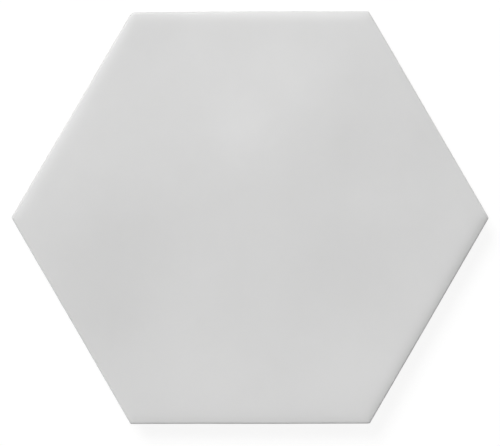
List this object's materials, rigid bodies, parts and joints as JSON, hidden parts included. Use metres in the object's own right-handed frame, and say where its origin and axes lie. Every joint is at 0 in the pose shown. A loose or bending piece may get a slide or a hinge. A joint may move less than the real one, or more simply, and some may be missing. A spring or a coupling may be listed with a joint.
{
  "type": "hexagon wall tile",
  "caption": "White glazed hexagon wall tile with a softly waved face, cushioned edges and a ribbed back.",
  "frame": {"origin": "the middle of the tile's back, on the plane of the border and the rib crests", "axes": "+Z out of the glazed face, +X towards one corner, +Y towards the middle of one straight side"},
  "size_m": [0.1244, 0.108, 0.0089],
  "materials": {
    "glazed_clay": "satin"
  },
  "bodies": {
    "root": {"hexagon_tile": "glazed_clay"}
  },
  "joints": []
}
